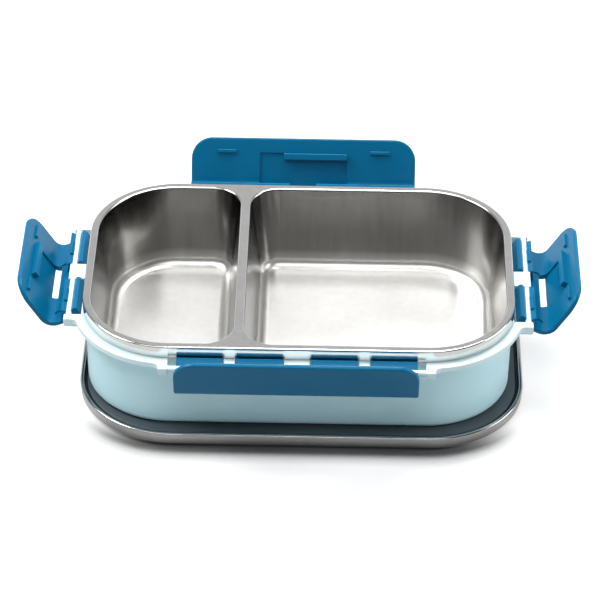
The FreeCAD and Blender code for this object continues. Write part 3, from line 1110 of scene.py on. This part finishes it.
    def supports(self, side: Side) -> list[Bench]:
        """Model the block, posts and ears of one hinge.

        Args:
            side: The side of the box.

        Returns:
            One bench for each, in place about the box's own middle.
        """
        reach = BOX.bar_offset + BOX.bar_radius + self.support_nose
        ear_place = self.ear_inner(side) + self.ear_width / 2
        rows = [(place, width, self.block_depth) for place, width in self.holders(side)]
        rows += [(sign * ear_place, self.ear_width, self.ear_depth) for sign in (-1, 1)]
        made = []
        for place, width, depth in rows:
            held = Bench("support")
            held.block((-self.support_root, place - width / 2, -depth), (reach, place + width / 2, 0.0))
            held.pick(
                Pick.EDGES, lambda e: all(v.co.x > reach - TOUCH and v.co.z < -depth + TOUCH for v in e.verts)
            )
            held.round_edges(self.support_round, steps=5)
            self.against(held, side)
            made.append(held)
        return made

    def bar(self, side: Side) -> Bench:
        """Model the bar of one hinge, with its ends inside the ears.

        Args:
            side: The side of the box.

        Returns:
            The bar, in place about the box's own middle.
        """
        bench = Bench("bar")
        length = 2 * self.ear_inner(side) + self.ear_width
        start = (BOX.bar_offset, -length / 2, -BOX.bar_radius)
        bench.rod(BOX.bar_radius - self.bar_ease, start, length)
        self.against(bench, side)
        return bench

    @staticmethod
    def against(bench: Bench, side: Side) -> None:
        """Set a piece against one side of the flange, about the box's own middle."""
        bench.move((BOX.reach(side), 0.0, BOX.flange))
        bench.turn(side.value, Axis.Z)

    def build(self) -> bpy.types.Object:
        """Model the shell.

        Returns:
            The finished shell.
        """
        rail = self.flange()
        for side in Side:
            for support in self.supports(side):
                support.level(BOX.flange)
                rail.level(BOX.flange)
                rail.work(support, Join.FUSE)
        rail.merge_flats()
        for normal, places in (((1.0, 0.0, 0.0), self.cuts_x), ((0.0, 1.0, 0.0), self.cuts_y)):
            for place in places:
                rail.split(normal, place)
        rail.soften(self.edge)
        walls = self.walls()
        walls.join(rail, *(self.bar(side) for side in Side))
        walls.move((*BOX.middle, 0.0))
        return walls.finish()

    def dress(self) -> None:
        """Build the shell and give it its plastic."""
        set_down(self.build(), "outer_shell", "box", self.finish.make())


@dataclass(frozen=True)
class FlapSize:
    """What tells the long flaps from the short ones, in millimetres."""

    length: float
    recess: float
    hook: Point
    nib_place: float
    heel: Point


LONG_FLAP = FlapSize(length=110.0, recess=42.8, hook=(-21.4, 9.6), nib_place=37.5, heel=(5.85, 5.3))
SHORT_FLAP = FlapSize(length=63.4, recess=25.6, hook=(-12.8, 12.8), nib_place=21.0, heel=(4.45, 3.75))


@dataclass
class LatchFlap:
    """Blue flap: clips for the hinge bar, a folded plate, a hook rib over its recess and two small ribs."""

    side: Side
    size: FlapSize
    holders: Sequence[Point]
    lift: float
    wall: float = 2.4
    leg_angle: float = -25.0
    leg_below: float = 2.14
    leg_start: float = 1.15
    plate_angle: float = 58.0
    plate_from: float = 11.5
    plate_reach: float = 24.05
    bend: float = 4.7
    corner: float = 10.5
    border: float = 0.85
    border_from: float = 1.3
    # Edges that turn by more than this many radians have the border's rounding
    border_turn: float = 1.0
    clip_bore: float = 1.58
    clip_wall: float = 1.85
    # Corners round the bar have an angle from outwards, a distance from the axis and a radius
    mouth: Point = (28.0, 125.0)
    mouth_edge: float = 0.2
    shoulder: tuple[Place, ...] = ((22.0, 4.4, 0.5), (-47.0, 5.7, 0.0))
    underside: tuple[float, ...] = (-80.0, -95.0, -110.0, -125.0)
    heel_foot: tuple[Place, ...] = ((206.0, 5.1, 0.8), (186.0, 5.75, 0.5))
    heel_top: Point = (143.0, 131.0)
    heel_edge: float = 0.35
    # The distances of the lip's corners are from the outside of the clip
    lip: tuple[Place, ...] = ((46.0, -0.4, 0.3), (38.0, 0.1, 0.3), (16.0, -0.3, 0.0))
    lip_length: float = 10.0
    end_gap: float = 0.6
    clip_inset: float = 0.35
    stop: float = 2.18
    overrun: float = 1.0
    hook_place: float = 14.0
    hook_thick: float = 3.0
    hook_height: float = 2.6
    hook_sink: float = 0.02
    hook_root: float = 0.5
    rib_edge: float = 0.3
    recess_depth: float = 0.8
    recess_clear: float = 3.0
    recess_start: float = -30.0
    nib_at: float = 16.75
    nib_thick: float = 1.7
    nib_height: float = 1.1
    nib_length: float = 9.6
    mark_radius: float = 1.5
    mark_depth: float = 0.5
    mark_along: float = 7.3
    mark_share: float = 0.27
    pin_length: float = 3.0
    smooth: float = 25.0

    @property
    def clip_outer(self) -> float:
        """Outer radius of the clips."""
        return self.clip_bore + self.clip_wall

    def meeting(self, below: float, out: float) -> Point:
        """Where a line under the leg meets a line along the plate.

        Args:
            below: Distance of the leg's line below the bar's axis.
            out: Distance of the plate's line out from the axis.

        Returns:
            The crossing as (outwards, up).
        """
        leg_up, plate_out = ray(self.leg_angle + 90), ray(self.plate_angle - 90)
        det = leg_up.x * plate_out.z - leg_up.z * plate_out.x
        return ((-below * plate_out.z - leg_up.z * out) / det, (leg_up.x * out + below * plate_out.x) / det)

    def folded_plate(self) -> Bench:
        """Model the leg, the bend and the plate from one section, with a rounded border.

        Returns:
            The plate, about the bar's axis.
        """
        bench = Bench("folded_plate")
        leg, leg_up = ray(self.leg_angle), ray(self.leg_angle + 90)
        plate, plate_out = ray(self.plate_angle), ray(self.plate_angle - 90)
        under, back = self.leg_below + self.wall, self.plate_from + self.wall
        root = [leg * self.leg_start - leg_up * drop for drop in (self.leg_below, under)]
        tip = [plate * self.plate_reach + plate_out * out for out in (self.plate_from, back)]
        bench.profile(corner_path([
            (root[0].x, root[0].z, 0.0),
            (*self.meeting(self.leg_below, self.plate_from), self.bend),
            (tip[0].x, tip[0].z, 0.0),
            (tip[1].x, tip[1].z, 0.0),
            (*self.meeting(under, back), self.bend + self.wall),
            (root[1].x, root[1].z, 0.0),
        ], steps=12), -self.size.length / 2, self.size.length / 2)
        bench.pick(
            Pick.EDGES,
            lambda e: all(v.co.dot(plate) > self.plate_reach - TOUCH for v in e.verts)
            and abs(e.verts[0].co.y - e.verts[1].co.y) < TOUCH,
        )
        bench.round_edges(self.corner, steps=16)
        bench.close()
        bench.pick(
            Pick.EDGES,
            lambda e: e.calc_face_angle(0.0) > self.border_turn
            and max(v.co.dot(leg) for v in e.verts) > self.border_from,
        )
        bench.round_edges(self.border, steps=5)
        bench.close()
        return bench

    def spans(self) -> list[Point]:
        """Runs of the bar that the clips hold, between the flap's ends, the block and the posts.

        Returns:
            Start and end of each run along the bar.
        """
        end = self.size.length / 2 - self.clip_inset
        edges = [-end]
        for place, width in sorted(self.holders):
            edges += [place - width / 2 - self.end_gap, place + width / 2 + self.end_gap]
        edges.append(end)
        return list(zip(edges[::2], edges[1::2]))

    @staticmethod
    def about_bar(rows: Sequence[Place], steps: int) -> list[Point]:
        """Closed line that goes out from the bar's axis, round a row of corners and back.

        Args:
            rows: Each corner as its angle, its distance from the axis and its radius.
            steps: Points on a quarter turn of a rounded corner.

        Returns:
            Points as (outwards, up).
        """
        axis = (0.0, 0.0, 0.0)
        corners = [(ray(angle).x * far, ray(angle).z * far, radius) for angle, far, radius in rows]
        return corner_path([axis, *corners, axis], steps)[:-1]

    def clip(self, low: float, high: float) -> Bench:
        """Model one clip that snaps over the bar, with a shoulder, a round underside and a heel by the tray.

        Args:
            low: Where the clip begins along the bar.
            high: Where it ends.

        Returns:
            The clip, about the bar's axis and not yet bored.
        """
        bench = Bench("clip")
        rows = [
            (self.mouth[0], self.clip_outer, self.mouth_edge),
            *self.shoulder,
            *((angle, self.clip_outer, 0.0) for angle in self.underside),
            *self.heel_foot,
            *((angle, far, self.heel_edge) for angle, far in zip(self.heel_top, self.size.heel)),
            (self.mouth[1], self.clip_outer, 0.0),
        ]
        bench.profile(self.about_bar(rows, steps=5), low, high)
        return bench

    def snap_lip(self, low: float, high: float) -> Bench:
        """Model the lip in the middle of a clip that holds it on the bar.

        Args:
            low: Where the clip begins along the bar.
            high: Where it ends.

        Returns:
            The lip, about the bar's axis.
        """
        bench = Bench("snap_lip")
        rows = [(angle, self.clip_outer + beyond, radius) for angle, beyond, radius in self.lip]
        middle, half = (low + high) / 2, self.lip_length / 2
        bench.profile(self.about_bar(rows, steps=4), middle - half, middle + half)
        return bench

    def on_plate(self, name: str, along: Point, out: Point, across: Point, edge: float = 0.0) -> Bench:
        """Model a block on the plate.

        Args:
            name: Name of the block.
            along: Its span along the plate.
            out: Its span out from the bar.
            across: Its span across the flap.
            edge: Radius of its edges.

        Returns:
            The block, turned to lie on the plate.
        """
        bench = Bench(name)
        bench.block((along[0], across[0], -out[1]), (along[1], across[1], -out[0]))
        if edge > 0.0:
            bench.pick(Pick.EDGES, lambda e: True)
            bench.round_edges(edge, steps=3)
            bench.close()
        bench.turn(-self.plate_angle, Axis.Y)
        return bench

    def model(self) -> Bench:
        """Model the flap.

        Returns:
            The flap about its bar's axis, with outwards along +X.
        """
        flap = self.folded_plate()
        room = 2 * self.clip_outer
        for place, width in sorted(self.holders):
            gap = width / 2 + self.end_gap
            notch = Bench("notch")
            notch.block((-room, place - gap, -room), (self.stop, place + gap, room))
            flap.work(notch, Join.CUT)
        for low, high in self.spans():
            clip = self.clip(low, high)
            clip.work(self.snap_lip(low, high), Join.FUSE)
            flap.work(clip, Join.FUSE)
        bore = Bench("bore")
        start = (0.0, -self.size.length / 2 - self.overrun, 0.0)
        bore.rod(self.clip_bore, start, self.size.length + 2 * self.overrun, sides=48)
        flap.work(bore, Join.CUT)
        self.latch(flap)
        self.pin_marks(flap)
        flap.merge_flats()
        return flap

    def latch(self, flap: Bench) -> None:
        """Sink the recess into the plate, and raise the hook rib and the two small ribs.

        Args:
            flap: The flap about its bar's axis.
        """
        top = self.hook_place + self.hook_thick
        root = self.plate_from + self.recess_depth
        side = self.size.recess / 2
        sunk = (self.plate_from - self.recess_clear, root)
        flap.work(self.on_plate("recess", (self.recess_start, top), sunk, (-side, side)), Join.CUT)
        hook_along = (self.hook_place, top - self.hook_sink)
        hook_out = (self.plate_from - self.hook_height, root + self.hook_root)
        flap.work(self.on_plate("hook", hook_along, hook_out, self.size.hook, self.rib_edge), Join.FUSE)
        nib_along = (self.nib_at, self.nib_at + self.nib_thick)
        nib_out = (self.plate_from - self.nib_height, root)
        half = self.nib_length / 2
        for place in (-self.size.nib_place, self.size.nib_place):
            nib = self.on_plate("nib", nib_along, nib_out, (place - half, place + half), self.rib_edge)
            flap.work(nib, Join.FUSE)

    def pin_marks(self, flap: Bench) -> None:
        """Sink the round mark that the mould's pin leaves beside each clip, on the leg.

        Args:
            flap: The flap about its bar's axis.
        """
        leg, leg_up = ray(self.leg_angle), ray(self.leg_angle + 90)
        foot = leg * self.mark_along - leg_up * self.leg_below
        for low, high in self.spans():
            share = self.mark_share * (high - low)
            place = low + share if self.side in (Side.RIGHT, Side.FRONT) else high - share
            pin = Bench("pin")
            pin.rod(self.mark_radius, (0.0, -self.mark_depth, 0.0), self.pin_length, sides=24)
            pin.turn(90.0, Axis.X)
            pin.turn(-self.leg_angle, Axis.Y)
            pin.move((foot.x, place, foot.z))
            flap.work(pin, Join.CUT)

    def build(self, model: Bench) -> bpy.types.Object:
        """Set a copy of a modelled flap on this side's bar, as far open as it stands.

        Args:
            model: The flap about its bar's axis.

        Returns:
            The finished flap.
        """
        flap = model.copy(f"{self.side.name.lower()}_flap_moulding")
        flap.turn(-self.lift, Axis.Y)
        flap.move((BOX.reach(self.side) + BOX.bar_offset, 0.0, BOX.bar_level))
        flap.turn(self.side.value, Axis.Z)
        flap.move((*BOX.middle, 0.0))
        return flap.finish(self.smooth)

    def dress(self, model: Bench, material: bpy.types.Material) -> None:
        """Build the flap from a model and give it the plastic that all flaps share."""
        word = self.side.name.lower()
        set_down(self.build(model), f"{word}_flap", f"{word}_latch", material)


@dataclass
class Lid:
    """Upside-down lid: drawn steel pan with a rolled rim, slate lining and a dark gasket."""

    reach: float = 3.75
    height: float = 7.2
    edge: float = 2.0
    edge_land: float = 1.0
    roll_width: float = 1.9
    roll_height: float = 1.5
    roll_step: float = 0.3
    # Bends of the roll at its outside, inside and underside, as shares of half its height
    roll_bends: Place = (0.98, 0.9, 0.5)
    floor_bend: float = 1.4
    lining_inset: float = 3.3
    lining_top: float = 6.3
    lining_edge: float = 0.8
    lining_round: float = 0.7
    lining_land: float = 3.0
    gasket_base: float = 0.8
    gasket_top: float = 5.4
    gasket_play: float = 0.1
    # The gasket's width over the radius of its top
    gasket_round: float = 2.1
    smooth: float = 45.0
    steel: DrawnSteel = LID_STEEL
    slate: MouldedPlastic = SLATE
    silicone: MouldedPlastic = DARK_SILICONE

    def pan(self) -> bpy.types.Object:
        """Model the pan from its widest line, up over the rolled rim and down round the edge.

        Returns:
            The finished pan.
        """
        bench = Bench("lid_pan")
        outline = BOX.outline(self.reach)
        half = self.roll_height / 2
        widest = self.height - half
        outside, inside, underside = (half * share for share in self.roll_bends)
        bench.plate(*outline, widest)
        bench.follow([
            (0.0, half, outside),
            (self.roll_width, half, inside),
            (self.roll_width, -widest + BOX.sheet + self.floor_bend, 0.0),
            (self.roll_width + self.floor_bend, -widest + BOX.sheet, 0.0),
        ], steps=6)
        bench.plate(*outline, widest)
        bench.follow([
            (0.0, -half, underside),
            (self.roll_step, -half, 0.0),
            (self.roll_step, -widest, self.edge),
            (self.roll_step + self.edge + self.edge_land, -widest, 0.0),
        ], steps=8)
        bench.close()
        bench.buff(lambda p: RIM if p.z > self.height - self.roll_height else 0.0)
        return bench.finish(self.smooth)

    def lining(self) -> bpy.types.Object:
        """Model the lining, with a rounded edge, standing on the pan's floor.

        Returns:
            The finished lining.
        """
        bench = Bench("lid_lining_plate")
        bench.plate(*BOX.outline(self.reach - self.lining_inset), BOX.sheet)
        bench.push((0.0, 0.0, self.lining_top - BOX.sheet - self.lining_edge))
        bench.follow([
            (0.0, self.lining_edge, self.lining_round),
            (self.lining_land, self.lining_edge, 0.0),
        ], steps=6)
        bench.close()
        return bench.finish(self.smooth)

    def gasket(self) -> bpy.types.Object:
        """Model the gasket ring with a rounded top.

        Returns:
            The finished ring.
        """
        bench = Bench("lid_gasket_ring")
        width = self.lining_inset - self.roll_width - 2 * self.gasket_play
        rise, bend = self.gasket_top - self.gasket_base, width / self.gasket_round
        bench.plate(*BOX.outline(self.reach - self.roll_width - self.gasket_play), self.gasket_base)
        bench.follow([(0.0, rise, bend), (width, rise, bend), (width, 0.0, 0.0)], steps=5)
        bpy.ops.mesh.delete(type="FACE")
        bench.pick(Pick.EDGES, lambda e: e.is_boundary)
        bpy.ops.mesh.bridge_edge_loops()
        bench.close()
        return bench.finish(self.smooth)

    def dress(self) -> None:
        """Build the three pieces of the lid and give each its finish."""
        set_down(self.pan(), "lid_cover", "lid", self.steel.make())
        set_down(self.lining(), "lid_lining", "lid", self.slate.make())
        set_down(self.gasket(), "lid_gasket", "lid", self.silicone.make())


# Studio, in metres


@dataclass(frozen=True)
class Softbox:
    """One soft lamp: where it hangs, the width and height of its face, and its power in watts."""

    name: str
    place: Place
    size: Point
    power: float

    def hang(self, aim: Place) -> None:
        """Hang the lamp.

        Args:
            aim: What it points at.
        """
        bpy.ops.object.light_add(type="AREA", location=self.place)
        lamp = bpy.context.object
        lamp.name = self.name
        lamp.data.shape = "RECTANGLE"
        lamp.data.size, lamp.data.size_y = self.size
        lamp.data.energy = self.power
        lamp.rotation_euler = (Vector(aim) - Vector(self.place)).to_track_quat("-Z", "Y").to_euler()


SOFTBOXES = (
    Softbox("back softbox", (0.14, 0.37, 0.97), (0.5, 0.40), 9.2),
    Softbox("front softbox", (-0.1, -0.46, 1.0), (0.9, 0.4), 3.9),
    Softbox("left softbox", (-0.7, 0.1, 0.9), (0.5, 0.5), 9.5),
    Softbox("right softbox", (1.1, 0.05, 0.5), (0.7, 0.6), 5.5),
)


@dataclass(frozen=True)
class Studio:
    """Pale floor, soft lamps and the camera of the photograph."""

    elevation: float = 36.18
    yaw: float = 0.80
    roll: float = 0.55
    lens: float = 190.02
    sensor: float = 36.0
    distance: float = 1.5
    aim: Place = (-0.00165, 0.0039, 0.0243)
    shift: Point = (0.00083, 0.01817)
    lamp_aim: Place = (0.0, 0.0, 0.03)
    sky_colour: Place = (0.97, 0.985, 1.0)
    back_light: float = 0.93
    low_light: float = 1.1
    floor_size: float = 24.0
    floor_tone: float = 0.47
    floor_glow: float = 0.64
    glossy_share: float = 0.3
    painted_shadow_reach: float = 0.013
    painted_shadow_between: Point = (0.74, 0.97)
    painted_shadow_ahead: Point = (-0.045, -0.07)
    painted_shadow_tone: float = 0.3

    def floor(self) -> None:
        """Lay a wide pale floor that shows white, with the lamps' shadows and a painted shadow from occlusion
        that is deepest in front of the lid.
        """
        bpy.ops.object.select_all(action="DESELECT")
        bpy.ops.mesh.primitive_plane_add(size=self.floor_size)
        floor = bpy.context.object
        floor.name = "floor"
        tree = ShaderTree.named("pale floor")
        by_camera, by_gloss, by_glass = (
            tree.node("ShaderNodeLightPath", output=name)
            for name in ("Is Camera Ray", "Is Glossy Ray", "Is Transmission Ray")
        )
        # Painted shadow: occlusion darkens the floor's colour and glow, mostly in front of the lid
        openness = tree.node(
            "ShaderNodeAmbientOcclusion", {"Distance": self.painted_shadow_reach}, {"samples": 8}, output="AO"
        )
        clear = tree.rise(openness, *self.painted_shadow_between)
        ahead = tree.rise(tree.along(Axis.Y), *self.painted_shadow_ahead)
        clear = 1.0 - ahead * (1.0 - clear)
        glow = (by_camera + by_gloss * self.glossy_share + by_glass) * clear * self.floor_glow
        tone_with_painted_shade = tree.tint(clear, (self.floor_tone * self.painted_shadow_tone,) * 3, (self.floor_tone,) * 3)
        matt = tree.node("ShaderNodeBsdfDiffuse", {"Color": tone_with_painted_shade})
        light = tree.node("ShaderNodeEmission", {"Strength": glow})
        both = tree.node("ShaderNodeAddShader", {0: matt, 1: light})
        floor.data.materials.append(tree.close(both, "ShaderNodeOutputMaterial"))

    def light(self) -> None:
        """Hang the lamps and set the room's own soft light, which comes from behind and from low down."""
        for softbox in SOFTBOXES:
            softbox.hang(self.lamp_aim)
        tree = ShaderTree(bpy.data.worlds.new("soft room"))
        bpy.context.scene.world = tree.owner
        way = tree.node("ShaderNodeTexCoord", output="Generated")
        back, high = (tree.along(axis, way) for axis in (Axis.Y, Axis.Z))
        low = 1.0 - high.above_zero()
        level = back.above_zero() ** 2.0 * self.back_light + low ** 4.0 * self.low_light
        sky = tree.node("ShaderNodeBackground", {"Color": (*self.sky_colour, 1.0), "Strength": level})
        tree.close(sky, "ShaderNodeOutputWorld")

    def camera(self) -> None:
        """Set the camera at the photograph's angle."""
        tilt, yaw, roll = (math.radians(a) for a in (self.elevation, self.yaw, self.roll))
        back = Vector((math.sin(yaw) * math.cos(tilt), -math.cos(yaw) * math.cos(tilt), math.sin(tilt)))
        right = Vector((math.cos(yaw), math.sin(yaw), 0.0))
        up = back.cross(right)
        across = right * math.cos(roll) + up * math.sin(roll)
        rise = up * math.cos(roll) - right * math.sin(roll)
        bpy.ops.object.camera_add()
        camera = bpy.context.object
        camera.matrix_world = Matrix.Translation(Vector(self.aim) + back * self.distance) @ Matrix(
            (across, rise, back)).transposed().to_4x4()
        camera.data.lens = self.lens
        camera.data.sensor_width = self.sensor
        camera.data.shift_x, camera.data.shift_y = self.shift
        bpy.context.scene.camera = camera


def main() -> None:
    """Build every sub-assembly in order, then the studio."""
    logging.basicConfig(level=logging.INFO, format="%(name)s: %(message)s")
    bpy.context.scene.view_settings.view_transform = "Standard"

    SteelTray().dress()

    shell = OuterShell()
    shell.dress()

    # Both long flaps come from one mould, each short one from its own. A lift is in degrees from fully open
    blue = FLAP_BLUE.make()
    for size, lifts in (
        (LONG_FLAP, {Side.BACK: 6.0, Side.FRONT: 11.7}),
        (SHORT_FLAP, {Side.LEFT: 0.0}),
        (SHORT_FLAP, {Side.RIGHT: 0.0}),
    ):
        flaps = [LatchFlap(side, size, shell.holders(side), lift) for side, lift in lifts.items()]
        model = flaps[0].model()
        for flap in flaps:
            flap.dress(model, blue)
        model.discard()

    Lid().dress()

    studio = Studio()
    studio.floor()
    studio.light()
    studio.camera()


if __name__ == "__main__":
    main()
